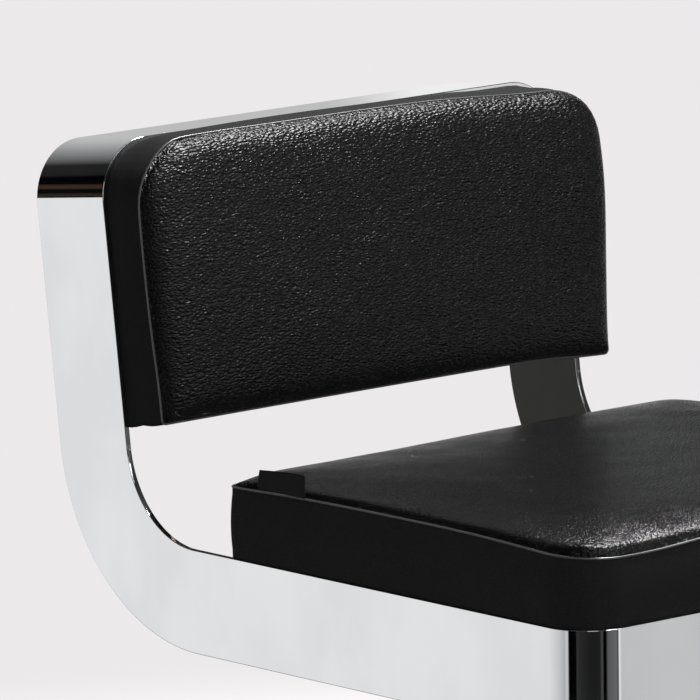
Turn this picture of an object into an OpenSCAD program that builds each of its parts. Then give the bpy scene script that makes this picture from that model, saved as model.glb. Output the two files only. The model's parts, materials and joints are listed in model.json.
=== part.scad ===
// Threading chair: a polished steel band bent into arms, uprights, front rail and top rail,
// with a seat cushion on the arms and a back cushion on the uprights.
// The seat stands on a foot-pumped lift with a round base.
// X runs across the chair, the sitter faces -Y, Z is up.
// The origin is on the floor, on the axis of the lift column.

/* [Band frame] */
// Width of the band frame, outside to outside
frame_w = 500; // [440:1:580]
// Width of the steel band: the height of the arms and the depth of the uprights
band_w = 85; // [75:1:110]
// Thickness of the steel band
band_t = 5; // [4:0.5:7]
// From the front face of the band back to the inner corner of arm and upright
arm_len = 537; // [520:1:600]
// Height of the uprights along their slope, from the arms to the top rail
upright_len = 322; // [290:1:400]
// Backward lean of the uprights in degrees
rake = 7; // [2:0.5:12]
// Radius of the inner corner between arm and upright
inner_r = 83; // [60:1:90]
// Radius of the outer corner between arm and upright
outer_r = 172; // [130:1:185]
// Outside radius of the bends into the top rail
top_bend_r = 50; // [35:1:65]
// Outside radius of the bends into the front rail
front_bend_r = 40; // [30:1:55]
// Height of the arms' top edge above the floor, with the lift at its lowest
arm_top = 420; // [405:1:500]
// From the front face of the band back to the axis of the column
column_back = 240; // [225:1:260]

/* [Seat cushion] */
// From the front face of the band to the back edge of the seat cushion
seat_depth = 422; // [380:1:430]
// Height of the seat cushion's side up to its seam
seat_side_h = 61; // [45:1:80]
// Height of the seat cushion's crown above its seam
seat_crown = 17; // [8:1:30]
// Corner radius of the seat cushion at the back
seat_rear_r = 8; // [5:1:30]
// How far the seat cushion's foot stands back from the front face of the band
seat_foot_back = 3.5; // [1:0.5:10]

/* [Back cushion] */
// Height of the back cushion's lower edge above the arms, along the slope
back_low = 92; // [85:1:120]
// Depth of the back cushion's side up to its seam
back_side_d = 43; // [30:1:55]
// Depth of the back cushion's crown in front of its seam
back_crown = 11; // [5:1:20]
// Corner radius of the back cushion at its lower corners
back_low_r = 12; // [8:1:30]

/* [Boards] */
// Thickness of the seat board
seat_board_t = 15; // [12:1:20]
// Thickness of the board in the back cushion
back_board_t = 12; // [9:1:18]
// Thickness of the upholstered panel behind the back
rear_panel_t = 20; // [12:1:25]
// How far the rear panel stands in from the back edges of the band
rear_panel_in = 5; // [2:0.5:12]

/* [Seat carrier] */
// Width of the flat steel cross bars
bar_w = 50; // [40:1:60]
// Thickness of the cross bars
bar_t = 8; // [6:0.5:10]
// Side of the square mounting plate on the column
plate_side = 190; // [185:1:205]
// Thickness of the mounting plate
plate_t = 6; // [5:0.5:10]
// Distance between the mounting bolts, across the chair
bolt_x = 120; // [100:1:140]
// Distance between the mounting bolts, front to back
bolt_y = 150; // [145:1:155]
// Height of the swivel hub under the mounting plate
hub_h = 50; // [40:1:56]

/* [Lift column] */
// Travel of the lift
stroke = 150; // [100:1:160]
// Radius of the chromed ram
ram_r = 25; // [22:0.5:27]
// Radius of the swivel spindle on top of the ram
spindle_r = 16; // [12:0.5:18]
// Outside radius of the chrome shroud
shroud_r = 72; // [70:1:80]

/* [Base] */
// Outside radius of the base
base_r = 300; // [270:1:330]
// Thickness of the steel base plate
base_plate_t = 8; // [6:1:12]
// Rise of the chrome cover from its rim to the column
cover_rise = 24; // [16:1:30]
// Thickness of the rubber mat that the base stands on
floor_mat_t = 6; // [4:0.5:8]

/* [Pedal] */
// Length of the pedal lever from its pivot
lever_len = 262; // [250:1:290]
// Radius of the lever's round bar
lever_r = 7; // [6:0.5:8]
// Rise of the lever from the pivot, in degrees, when it is not pressed
lever_tilt = 8; // [6:0.5:9]
// Width of the pedal
pedal_w = 92; // [80:1:110]

/* [Hidden] */

$fn = 96;
// Overrun of cuts past a face
over = 1;
// Gap between parts that turn or slide on each other, on the radius
fit_gap = 0.05;
// Gap over and under the bearing balls, and under the retaining ring
run_gap = 0.1;

// Frame
front_y = -column_back;
corner_y = front_y + arm_len;
inner_w = frame_w - 2 * band_t;
half_w = frame_w / 2;
up_dir = [sin(rake), cos(rake)];
fore_dir = [-cos(rake), sin(rake)];
corner_share = tan((90 - rake) / 2);
outer_drop = band_w * (1 - sin(rake)) / cos(rake);
outer_corner = -fore_dir * band_w - up_dir * outer_drop;
outer_t = outer_r * corner_share;
outer_low = outer_corner - [outer_t, 0];
outer_high_h = outer_t - outer_drop;
// How far the elbow's arcs run past their tangents, so that they meet the straights cleanly
arc_overlap = 0.01;

// Cushions: points on an outline, levels up a side and rings over a crown
arc_steps = 6;
side_steps = 6;
side_levels = 5;
crown_levels = 8;
// Shares that set how fast a crown rises from its seam, and how its rings crowd there
seat_swell_shares = [8.4, 1.7];
back_swell_shares = [6.5, 1.5];
// How far the sides of a cushion swell between foot and seam
side_swell = 2.5;
// How far the long sides draw in between the corners
draw_in = 1.2;
// How far the seam dips at the corners
seam_dip = 4;
seat_mid_y = front_y + (seat_foot_back + seat_depth) / 2;
seat_half_y = (seat_depth - seat_foot_back) / 2 + side_swell;
// How far the foot of a cushion stands in from the sides of the band
foot_in = 2;
cushion_half_x = half_w - foot_in + side_swell;
back_mid = (back_low + upright_len) / 2;
back_half = (upright_len - back_low) / 2 + side_swell;

// Label sewn into the seam of the seat's right side
label_len = 57;
label_rise = 17;
// How far the label leans in over the cushion at its free edge
label_lean = 1.5;
label_t = 0.8;
label_lift = 0.4;
// Distance of the label from the back edge of the seat cushion
label_back = 38;
label_steps = 6;

// Seat board, cross bars and their fasteners
bar_top = arm_top - seat_board_t;
plate_top = bar_top - bar_t;
hub_top = plate_top - plate_t;
hub_bottom = hub_top - hub_h;
bolt_r = 4;
bolt_head_r = 7.5;
bolt_head_h = 5.3;
hole_gap = 0.2;
tee_flange_r = 11;
tee_flange_t = 1.5;
tee_barrel_r = 5.5;
tee_barrel_h = 12;
board_front_gap = 0.5;
// How far the seat board stops short of the cushion's back edge
board_back_in = 16;
screw_r = 2;
screw_head_r = 4.5;
screw_head_h = 2.5;
board_screw_len = 10;
// Distance of the outer board screws from the side plates
board_screw_in = 45;
plate_corner_r = 12;
hub_r = 34;
ring_room_r = 23;

// Thrust bearing and retaining ring
race_t = 4;
race_r = 30;
ball_r = 4;
ball_count = 14;
ball_pitch_r = 23;
ring_r = 20;
ring_t = 4;
spindle_stub = 1;
lower_race_z = hub_bottom - 2 * race_t - 2 * ball_r - 2 * run_gap;

// Pump
base_top = floor_mat_t + base_plate_t;
foot_t = 10;
foot_top = base_top + foot_t;
foot_r = 68;
foot_bolt_r = 5;
foot_bolt_pcr = 53;
foot_bolt_head_r = 6.5;
foot_bolt_head_h = 6;
// Width of the oil space round the ram
oil_w = 5;
bore_r = ram_r + oil_w;
cylinder_t = 5;
cylinder_r = bore_r + cylinder_t;
piston_h = 18;
// Oil space under the piston
oil_gap = 3;
piston_z = foot_top + oil_gap;
bush_h = 30;
// Room left between piston and guide bush at the top of the travel
top_room = 15;
cylinder_top = piston_z + piston_h + stroke + top_room + bush_h;
seal_h = 4;
seal_depth = 3;
wiper_h = 6;
wiper_gap = 0.3;
wiper_in = 2;
shroud_t = 2;
shroud_head = 10;
shroud_top = cylinder_top + wiper_h + shroud_head;
cap_h = 8;
cap_gap = 1.5;
cap_spigot_h = 8;
cap_spigot_t = 3;
cap_round = 3;

// Base cover
cover_t = 2;
cover_hole_gap = 1;
cover_hole_r = foot_r + cover_hole_gap;
// Width of the flat ring on the cover round the shroud
cover_flat = 24;
cover_flat_r = shroud_r + cover_flat;
cover_steps = 16;
cover_lip_gap = 3;
base_plate_in = 15;
base_plate_r = base_r - base_plate_in;
function cover_share(r) = (base_r * base_r - r * r) / (base_r * base_r - cover_flat_r * cover_flat_r);
cover_seat_gap = 0.3;
cover_rim_z = base_top + cover_t + cover_seat_gap - cover_rise * cover_share(base_plate_r);
cover_top = cover_rim_z + cover_rise;

// Pedal lever, its pivot and the plunger that it lifts
pivot_out = 23.5;
pivot_up = 48;
pivot_y = cylinder_r + pivot_out;
pivot_z = foot_top + pivot_up;
pin_r = 4;
lever_hub_r = 9;
lever_hub_w = 16;
nose_reach = 15;
nose_r = 4;
nose_w = 12;
web_w = 8;
web_h = 7;
ear_t = 4;
ear_r = 7;
// Room for the spring between lever and ear
spring_room = 6;
ear_x = lever_hub_w / 2 + spring_room;
bracket_pad_t = 4;
pin_stub = 2;
pin_half = ear_x + ear_t + pin_stub;
spring_t = 1.8;
spring_gap = 0.4;
spring_w = 4.8;
plunger_r = 5;
plunger_h = 36;
plunger_gap = 0.3;
guide_w = 18;
guide_wall = 2.5;
guide_h = 40;
// Height of the guide block above the plunger's lower end
guide_lift = 8;
guide_roof = 4;
// Room beside the lever, and over and under it, in the slot of the shroud
slot_side_gap = 3;
slot_end_gap = 7;
slot_w = 2 * (lever_r + slot_side_gap);
slot_h = 2 * (lever_r + slot_end_gap);
pedal_plate_t = 4;
pedal_d = 54;
pedal_plate_in = 3;
pad_t = 6;
pad_r = 8;
rib_h = 3;
rib_w = 4;
rib_count = 5;
nose_y = pivot_y - nose_reach * cos(lever_tilt);
nose_z = pivot_z - nose_reach * sin(lever_tilt);
plunger_z = nose_z + nose_r + plunger_gap;
// How far the bar is let into the underside of the pedal plate
plate_sink = 2;
pedal_plate_z = lever_r - plate_sink;

// Backrest hardware
board_side_gap = 1;
back_half_x = inner_w / 2 - board_side_gap;
panel_rise = 3;
panel_low = back_low + panel_rise;
panel_high = upright_len - band_t - board_side_gap;
panel_corner_r = top_bend_r - band_t - board_side_gap;
panel_y = band_w - rear_panel_in - rear_panel_t;
angle_w = 30;
angle_t = 3;
// Distances of the angles' ends from the boards' lower edge and from the top bends
angle_rise = 25;
angle_head = 10;
angle_low = panel_low + angle_rise;
angle_high = upright_len - top_bend_r - angle_head;
back_screw_count = 3;
back_screw_len = 8;
// Distance of the end screws from the ends of the angle
back_screw_in = 15;
spacer_r = 8;
spacer_in_x = 55;
spacer_in_z = 40;
spacer_screw_len = 15;
trim_t = 6;

// Colours
chrome = [0.82, 0.84, 0.86];
steel = [0.55, 0.57, 0.6];
black_leather = [0.07, 0.07, 0.08];
black_plastic = [0.1, 0.1, 0.11];
rubber = [0.12, 0.12, 0.12];
brass = [0.75, 0.6, 0.3];
plywood = [0.76, 0.62, 0.42];
zinc = [0.7, 0.7, 0.68];

// Places children on the slope of the uprights: y runs back from their front edges, z up the slope
module on_slope() translate([0, corner_y, arm_top]) rotate([-rake, 0, 0]) children();

// Copies children to the four corners of a rectangle
module at_corners(x, y) for (sx = [-1, 1], sy = [-1, 1]) translate([sx * x / 2, sy * y / 2, 0]) children();

// A tube or ring standing on z = 0
module tube(r_out, r_in, h) difference() {
    cylinder(r = r_out, h = h);
    translate([0, 0, -over]) cylinder(r = r_in, h = h + 2 * over);
}

// A quarter turn of the band, from the -X side round to the -Y side
module quarter_bend(r) rotate([0, 0, 180]) rotate_extrude(angle = 90)
    translate([r - band_t, 0]) square([band_t, band_w]);

// A flat outline with two corners rounded at its low-y side
module two_corner_outline(w, d, r) union() {
    translate([-w / 2, r]) square([w, d - r]);
    translate([-w / 2 + r, 0]) square([w - 2 * r, r + over]);
    for (sx = [-1, 1]) translate([sx * (w / 2 - r), r]) circle(r = r);
}

// Outline of the arm, seen from the side, from the inner corner of arm and upright.
// Only its upper half reaches the corner: the elbow fills the rest.
module arm_outline() polygon([
    [front_bend_r - arm_len, -band_w], [outer_low[0], -band_w], [outer_low[0], -band_w / 2],
    [0, -band_w / 2], [0, 0], [front_bend_r - arm_len, 0]
]);

// Outline of the upright, on the slope. Only its front half reaches the corner.
module upright_outline() polygon([
    [0, 0], [band_w / 2, 0], [band_w / 2, outer_high_h], [band_w, outer_high_h],
    [band_w, upright_len - top_bend_r], [0, upright_len - top_bend_r]
]);

// Outline of the elbow: the fillet in the inner corner, and the disc that rounds the outer one
module elbow_outline() {
    inner_t = inner_r * corner_share;
    reach = band_w / 8;
    difference() {
        polygon([
            [-inner_t, inner_r], [-inner_t, -over], [over, -over],
            up_dir * inner_t - fore_dir * over, up_dir * inner_t
        ]);
        translate([-inner_t, inner_r]) circle(r = inner_r + arc_overlap);
    }
    intersection() {
        polygon([
            outer_low + [-reach, band_w / 2], outer_low - [reach, over], outer_corner + [over, -over],
            up_dir * (outer_high_h + reach) - fore_dir * (band_w + over),
            up_dir * (outer_high_h + reach) - fore_dir * band_w / 2, [-over, over]
        ]);
        translate(outer_low + [0, outer_r]) circle(r = outer_r + arc_overlap);
    }
}

// The flat side plate on the sitter's right, cut in one piece from arm to upright
module side_plate() color(chrome) translate([-half_w, corner_y, arm_top]) rotate([90, 0, 90])
    linear_extrude(band_t) union() {
        arm_outline();
        elbow_outline();
        rotate(-rake) upright_outline();
    }

module right_side_plate() side_plate();
module left_side_plate() mirror([1, 0, 0]) side_plate();

// A straight rail with a quarter bend at each end, lying along X with its bends towards +Y
module bent_rail(r) {
    translate([r - half_w, 0, 0]) cube([frame_w - 2 * r, band_t, band_w]);
    for (side = [0, 1]) mirror([side, 0, 0]) translate([r - half_w, r, 0]) quarter_bend(r);
}

module front_rail() color(chrome) translate([0, front_y, arm_top - band_w]) bent_rail(front_bend_r);

module top_rail() color(chrome) on_slope() translate([0, 0, upright_len])
    rotate([-90, 0, 0]) bent_rail(top_bend_r);

// Points of a cushion's outline, counter-clockwise, its long sides drawn in between the corners
function outline_points(hx, hy, low_r, high_r) =
    let (
        corners = [
            [hx - low_r, -hy + low_r, low_r, -90], [hx - high_r, hy - high_r, high_r, 0],
            [-hx + high_r, hy - high_r, high_r, 90], [-hx + low_r, -hy + low_r, low_r, 180]
        ],
        starts = [for (c = corners) [c[0] + c[2] * cos(c[3]), c[1] + c[2] * sin(c[3])]],
        ends = [for (c = corners) [c[0] + c[2] * cos(c[3] + 90), c[1] + c[2] * sin(c[3] + 90)]],
        inward = [[-1, 0], [0, -1], [1, 0], [0, 1]]
    )
    [for (i = [0 : 3]) for (k = [0 : arc_steps + side_steps - 1])
        let (turn = corners[i][3] + 90 * k / arc_steps, t = (k - arc_steps) / side_steps)
        k <= arc_steps
            ? [corners[i][0] + corners[i][2] * cos(turn), corners[i][1] + corners[i][2] * sin(turn)]
            : ends[i] + (starts[(i + 1) % 4] - ends[i]) * t + inward[i] * draw_in * sin(180 * t)];

// Rise of a crown as a share of its height, at a share of the way in from the seam
function swell(share, rate) = (1 - exp(-rate * share)) / (1 - exp(-rate));

// A cushion on a flat foot: swelling sides, a seam that dips at the corners, and a crown
module cushion(hx, hy, low_r, high_r, side_h, crown, swell_shares) {
    ring = outline_points(hx, hy, low_r, high_r);
    n = len(ring);
    foot_to_seam = [for (k = [0 : side_levels]) for (p = ring)
        let (
            up = k / side_levels,
            inset = side_swell * (1 - sin(180 * up)),
            dip = seam_dip * up * pow(abs(p[0]) / hx, 6) * pow(abs(p[1]) / hy, 6)
        )
        [p[0] * (hx - inset) / hx, p[1] * (hy - inset) / hy, side_h * up - dip]];
    seam = [for (i = [0 : n - 1]) foot_to_seam[side_levels * n + i]];
    over_crown = [for (k = [1 : crown_levels - 1]) for (p = seam)
        let (way = pow(k / crown_levels, swell_shares[1]), rise = swell(way, swell_shares[0]))
        [p[0] * (1 - way), p[1] * (1 - way), p[2] + (side_h + crown - p[2]) * rise]];
    rings = side_levels + crown_levels;
    points = concat(foot_to_seam, over_crown, [[0, 0, 0], [0, 0, side_h + crown]]);
    foot = len(points) - 2;
    peak = len(points) - 1;
    walls = [for (k = [0 : rings - 2]) for (i = [0 : n - 1])
        let (a = k * n + i, b = k * n + (i + 1) % n) each [[a, a + n, b + n], [a, b + n, b]]];
    caps = [for (i = [0 : n - 1])
        let (top = (rings - 1) * n, j = (i + 1) % n) each [[foot, i, j], [peak, top + j, top + i]]];
    polyhedron(points, concat(walls, caps));
}

module seat_cushion() color(black_leather) translate([0, seat_mid_y, arm_top])
    cushion(cushion_half_x, seat_half_y, front_bend_r, seat_rear_r, seat_side_h, seat_crown,
        seat_swell_shares);

module back_cushion() color(black_leather) on_slope() translate([0, 0, back_mid])
    rotate([90, 0, 0])
        cushion(cushion_half_x, back_half, back_low_r, top_bend_r, back_side_d, back_crown,
            back_swell_shares);

// A bare woven tab, sewn into the seat's seam and standing up from it
module side_label() {
    seam_x = cushion_half_x - side_swell;
    path = [for (k = [0 : label_steps])
        let (share = k / label_steps)
        [label_lean * share * share - seam_x, seat_side_h + label_lift + label_rise * share]];
    back = [for (k = [label_steps : -1 : 0]) path[k] - [label_t, 0]];
    color(black_plastic)
        translate([0, front_y + seat_depth - label_back, arm_top]) rotate([90, 0, 0])
            linear_extrude(label_len) polygon(concat(path, back));
}

module seat_board() color(plywood) difference() {
    translate([0, front_y + band_t + board_front_gap, bar_top]) linear_extrude(seat_board_t)
        two_corner_outline(inner_w - 2 * board_side_gap,
            seat_depth - band_t - board_front_gap - board_back_in, front_bend_r - band_t);
    at_corners(bolt_x, bolt_y) {
        translate([0, 0, bar_top - over])
            cylinder(r = tee_barrel_r + hole_gap, h = seat_board_t + 2 * over);
        translate([0, 0, arm_top - tee_flange_t])
            cylinder(r = tee_flange_r + hole_gap, h = tee_flange_t + over);
    }
    at_corners(inner_w - 2 * board_screw_in, bolt_y) translate([0, 0, bar_top - over])
        cylinder(r = screw_r + fit_gap, h = board_screw_len + over + fit_gap);
}

module cross_bar(y) color(steel) difference() {
    translate([-inner_w / 2, y - bar_w / 2, plate_top]) cube([inner_w, bar_w, bar_t]);
    for (sx = [-1, 1]) {
        translate([sx * bolt_x / 2, y, plate_top - over])
            cylinder(r = bolt_r + hole_gap, h = bar_t + 2 * over);
        translate([sx * (inner_w / 2 - board_screw_in), y, plate_top - over])
            cylinder(r = screw_r + hole_gap, h = bar_t + 2 * over);
    }
}

module front_cross_bar() cross_bar(-bolt_y / 2);
module rear_cross_bar() cross_bar(bolt_y / 2);

module tee_nuts() color(zinc) at_corners(bolt_x, bolt_y) {
    translate([0, 0, arm_top - tee_flange_t])
        tube(tee_flange_r, bolt_r + fit_gap, tee_flange_t);
    translate([0, 0, arm_top - tee_flange_t - tee_barrel_h])
        tube(tee_barrel_r, bolt_r + fit_gap, tee_barrel_h);
}

module mount_bolts() color(zinc) at_corners(bolt_x, bolt_y) {
    translate([0, 0, hub_top - bolt_head_h]) cylinder(r = bolt_head_r, h = bolt_head_h, $fn = 6);
    translate([0, 0, hub_top]) cylinder(r = bolt_r, h = arm_top - tee_flange_t - hub_top);
}

module board_screws() color(zinc) at_corners(inner_w - 2 * board_screw_in, bolt_y) {
    translate([0, 0, plate_top - screw_head_h]) cylinder(r = screw_head_r, h = screw_head_h);
    translate([0, 0, plate_top]) cylinder(r = screw_r, h = bar_t + board_screw_len);
}

module mount_plate() color(steel) translate([0, 0, hub_top]) difference() {
    linear_extrude(plate_t) union() {
        square([plate_side, plate_side - 2 * plate_corner_r], center = true);
        square([plate_side - 2 * plate_corner_r, plate_side], center = true);
        at_corners(plate_side - 2 * plate_corner_r, plate_side - 2 * plate_corner_r)
            circle(r = plate_corner_r);
    }
    translate([0, 0, -over]) cylinder(r = ring_room_r, h = plate_t + 2 * over);
    at_corners(bolt_x, bolt_y) translate([0, 0, -over])
        cylinder(r = bolt_r + hole_gap, h = plate_t + 2 * over);
}

module swivel_hub() color(steel) translate([0, 0, hub_bottom])
    tube(hub_r, spindle_r + fit_gap, hub_h);

module race() tube(race_r, spindle_r + hole_gap, race_t);
module upper_race() color(steel) translate([0, 0, hub_bottom - race_t]) race();
module lower_race() color(steel) translate([0, 0, lower_race_z]) race();

module bearing_balls() color(chrome) for (k = [0 : ball_count - 1])
    rotate([0, 0, 360 * k / ball_count])
        translate([ball_pitch_r, 0, lower_race_z + race_t + run_gap + ball_r]) sphere(r = ball_r);

module retaining_ring() color(steel) translate([0, 0, hub_top + run_gap])
    tube(ring_r, spindle_r + fit_gap, ring_t);

module lift_ram() color(chrome) {
    translate([0, 0, piston_z + piston_h])
        cylinder(r = ram_r, h = lower_race_z - piston_z - piston_h);
    translate([0, 0, lower_race_z])
        cylinder(r = spindle_r, h = hub_top + run_gap + ring_t + spindle_stub - lower_race_z);
}

module piston_head() color(steel) translate([0, 0, piston_z]) difference() {
    cylinder(r = bore_r - fit_gap, h = piston_h);
    translate([0, 0, (piston_h - seal_h) / 2]) tube(bore_r + over, bore_r - seal_depth, seal_h);
}

module piston_seal() color(rubber) translate([0, 0, piston_z + (piston_h - seal_h) / 2 + fit_gap])
    tube(bore_r - fit_gap, bore_r - seal_depth + fit_gap, seal_h - 2 * fit_gap);

module pump_cylinder() color(steel) translate([0, 0, foot_top])
    tube(cylinder_r, bore_r, cylinder_top - foot_top);

module guide_bush() color(brass) translate([0, 0, cylinder_top - bush_h])
    tube(bore_r - fit_gap, ram_r + fit_gap, bush_h);

module wiper_seal() color(rubber) translate([0, 0, cylinder_top])
    tube(cylinder_r - wiper_in, ram_r + wiper_gap, wiper_h);

module pump_foot() color(steel) translate([0, 0, base_top]) difference() {
    cylinder(r = foot_r, h = foot_t);
    for (k = [0 : 3]) rotate([0, 0, 45 + 90 * k]) translate([foot_bolt_pcr, 0, -over])
        cylinder(r = foot_bolt_r + hole_gap, h = foot_t + 2 * over);
}

module foot_bolts() color(zinc) for (k = [0 : 3]) rotate([0, 0, 45 + 90 * k])
    translate([foot_bolt_pcr, 0, 0]) {
        translate([0, 0, foot_top]) cylinder(r = foot_bolt_head_r, h = foot_bolt_head_h, $fn = 6);
        translate([0, 0, floor_mat_t]) cylinder(r = foot_bolt_r, h = foot_top - floor_mat_t);
    }

module pump_shroud() color(chrome) difference() {
    translate([0, 0, cover_top]) tube(shroud_r, shroud_r - shroud_t, shroud_top - cover_top);
    translate([-slot_w / 2, 0, pivot_z - slot_h / 2]) cube([slot_w, shroud_r + over, slot_h]);
}

module shroud_cap() color(black_plastic) {
    translate([0, 0, shroud_top]) difference() {
        cylinder(r = shroud_r, h = cap_h - cap_round);
        translate([0, 0, -over]) cylinder(r = ram_r + cap_gap, h = cap_h + 2 * over);
    }
    translate([0, 0, shroud_top + cap_h - cap_round]) difference() {
        cylinder(r1 = shroud_r, r2 = shroud_r - cap_round, h = cap_round);
        translate([0, 0, -over]) cylinder(r = ram_r + cap_gap, h = cap_h + 2 * over);
    }
    translate([0, 0, shroud_top - cap_spigot_h])
        tube(shroud_r - shroud_t - fit_gap, shroud_r - shroud_t - cap_spigot_t, cap_spigot_h);
}

module base_plate() color(steel) translate([0, 0, floor_mat_t]) difference() {
    cylinder(r = base_plate_r, h = base_plate_t);
    for (k = [0 : 3]) rotate([0, 0, 45 + 90 * k]) translate([foot_bolt_pcr, 0, -over])
        cylinder(r = foot_bolt_r + fit_gap, h = base_plate_t + 2 * over);
}

module floor_mat() color(rubber) cylinder(r = base_plate_r, h = floor_mat_t);

// A spun chrome cover: a lip round the rim, a low dome, and a flat ring under the shroud
module base_cover() {
    dome = [for (k = [0 : cover_steps])
        let (r = base_r + (cover_flat_r - base_r) * k / cover_steps)
        [r, cover_rim_z + cover_rise * cover_share(r)]];
    under = [for (k = [cover_steps : -1 : 1]) dome[k] - [0, cover_t]];
    color(chrome) rotate_extrude() polygon(concat(
        [[base_r, cover_lip_gap]], dome, [[cover_hole_r, cover_top], [cover_hole_r, cover_top - cover_t]],
        under, [[base_r - cover_t, cover_rim_z - cover_t], [base_r - cover_t, cover_lip_gap]]
    ));
}

// Places children at the pivot, tilted as the lever is when it is not pressed
module at_pivot() translate([0, pivot_y, pivot_z]) rotate([lever_tilt, 0, 0]) children();

// A round bar across the chair, centred on the pivot
module across(r, w) rotate([0, 90, 0]) translate([0, 0, -w / 2]) cylinder(r = r, h = w);

module pedal_lever() color(chrome) at_pivot() difference() {
    union() {
        across(lever_hub_r, lever_hub_w);
        translate([-web_w / 2, -nose_reach, -web_h / 2]) cube([web_w, nose_reach, web_h]);
        translate([0, -nose_reach, 0]) across(nose_r, nose_w);
        rotate([-90, 0, 0]) cylinder(r = lever_r, h = lever_len - pedal_plate_in);
        translate([-pedal_w / 2 + pedal_plate_in, lever_len - pedal_d + pedal_plate_in, pedal_plate_z])
            cube([pedal_w - 2 * pedal_plate_in, pedal_d - 2 * pedal_plate_in, pedal_plate_t]);
    }
    across(pin_r + fit_gap, lever_hub_w + 2 * over);
}

module pedal_pad() color(rubber) at_pivot()
    translate([0, lever_len - pedal_d, pedal_plate_z + pedal_plate_t]) {
        linear_extrude(pad_t) union() {
            two_corner_outline(pedal_w, pedal_d / 2 + over, pad_r);
            translate([0, pedal_d]) mirror([0, 1]) two_corner_outline(pedal_w, pedal_d / 2, pad_r);
        }
        for (k = [1 : rib_count])
            translate([pad_r - pedal_w / 2, k * pedal_d / (rib_count + 1) - rib_w / 2, pad_t - rib_h])
                cube([pedal_w - 2 * pad_r, rib_w, 2 * rib_h]);
    }

module lever_bracket() color(steel) difference() {
    union() {
        translate([-ear_x - ear_t, pivot_y - ear_r, foot_top])
            cube([2 * (ear_x + ear_t), 2 * ear_r, bracket_pad_t]);
        for (x = [-ear_x - ear_t, ear_x]) {
            translate([x, pivot_y - ear_r, foot_top]) cube([ear_t, 2 * ear_r, pivot_z - foot_top]);
            translate([x + ear_t / 2, pivot_y, pivot_z]) across(ear_r, ear_t);
        }
    }
    translate([0, pivot_y, pivot_z]) across(pin_r + fit_gap, 2 * (ear_x + ear_t + over));
}

module pivot_pin() color(steel) translate([0, pivot_y, pivot_z]) across(pin_r, 2 * pin_half);

module lever_spring() color(steel)
    translate([(lever_hub_w / 2 + ear_x) / 2, pivot_y, pivot_z]) difference() {
        across(pin_r + spring_gap + spring_t, spring_w);
        across(pin_r + spring_gap, spring_w + 2 * over);
    }

module plunger_guide() color(steel) difference() {
    translate([-guide_w / 2, 0, plunger_z + guide_lift])
        cube([guide_w, nose_y + plunger_r + guide_wall, guide_h]);
    translate([0, 0, plunger_z]) cylinder(r = cylinder_r, h = guide_lift + guide_h + over);
    translate([0, nose_y, plunger_z])
        cylinder(r = plunger_r + fit_gap, h = guide_lift + guide_h - guide_roof);
}

module pump_plunger() color(chrome) translate([0, nose_y, plunger_z])
    cylinder(r = plunger_r, h = plunger_h);

// Outline of the boards in the back, in the plane of the slope
module back_outline() translate([0, panel_high]) mirror([0, 1])
    two_corner_outline(2 * back_half_x, panel_high - panel_low, panel_corner_r);

// Stands a flat outline up on the slope, its back face at a distance behind the front edges
module slope_board(y_back, t) on_slope() translate([0, y_back, 0]) rotate([90, 0, 0])
    linear_extrude(t) children();

// Places children at the four spacers between back board and rear panel, pointing backwards
module at_spacers(y) on_slope() for (sx = [-1, 1], z = [panel_low + spacer_in_z, panel_high - spacer_in_z])
    translate([sx * (back_half_x - spacer_in_x), y, z]) rotate([-90, 0, 0]) children();

// Places children at the screws of one back angle, pointing backwards
module at_angle_screws(y) on_slope() for (k = [0 : back_screw_count - 1])
    translate([
        -inner_w / 2 + angle_w / 2, y,
        angle_low + back_screw_in
            + k * (angle_high - angle_low - 2 * back_screw_in) / (back_screw_count - 1)
    ]) rotate([-90, 0, 0]) children();

// Repeats children on the other side of the chair
module both_sides() {
    children();
    mirror([1, 0, 0]) children();
}

module back_board() color(plywood) difference() {
    slope_board(back_board_t, back_board_t) back_outline();
    at_spacers(0) {
        translate([0, 0, -over]) cylinder(r = screw_r + hole_gap, h = back_board_t + 2 * over);
        translate([0, 0, -over]) cylinder(r = screw_head_r + hole_gap, h = screw_head_h + over);
    }
    both_sides() at_angle_screws(back_board_t - back_screw_len)
        cylinder(r = screw_r + fit_gap, h = back_screw_len + over);
}

module rear_panel() color(black_leather) slope_board(panel_y + rear_panel_t, rear_panel_t)
    back_outline();

module bottom_trim() color(black_plastic) on_slope()
    translate([-back_half_x, back_board_t, panel_low])
        cube([2 * back_half_x, panel_y - back_board_t, trim_t]);

module back_angle() color(steel) difference() {
    on_slope() translate([-inner_w / 2, back_board_t, angle_low]) {
        cube([angle_w, angle_t, angle_high - angle_low]);
        cube([angle_t, angle_w, angle_high - angle_low]);
    }
    at_angle_screws(back_board_t - over) cylinder(r = screw_r + hole_gap, h = angle_t + 2 * over);
}

module right_back_angle() back_angle();
module left_back_angle() mirror([1, 0, 0]) back_angle();

module back_screws() color(zinc) both_sides() {
    at_angle_screws(back_board_t - back_screw_len)
        cylinder(r = screw_r, h = back_screw_len + angle_t);
    at_angle_screws(back_board_t + angle_t) cylinder(r = screw_head_r, h = screw_head_h);
}

module panel_spacers() color(plywood) difference() {
    at_spacers(back_board_t) cylinder(r = spacer_r, h = panel_y - back_board_t);
    at_spacers(back_board_t - over) cylinder(r = screw_r + fit_gap, h = spacer_screw_len + over);
}

module spacer_screws() color(zinc) {
    at_spacers(0) cylinder(r = screw_head_r, h = screw_head_h);
    at_spacers(screw_head_h)
        cylinder(r = screw_r, h = back_board_t - screw_head_h + spacer_screw_len);
}

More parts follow.
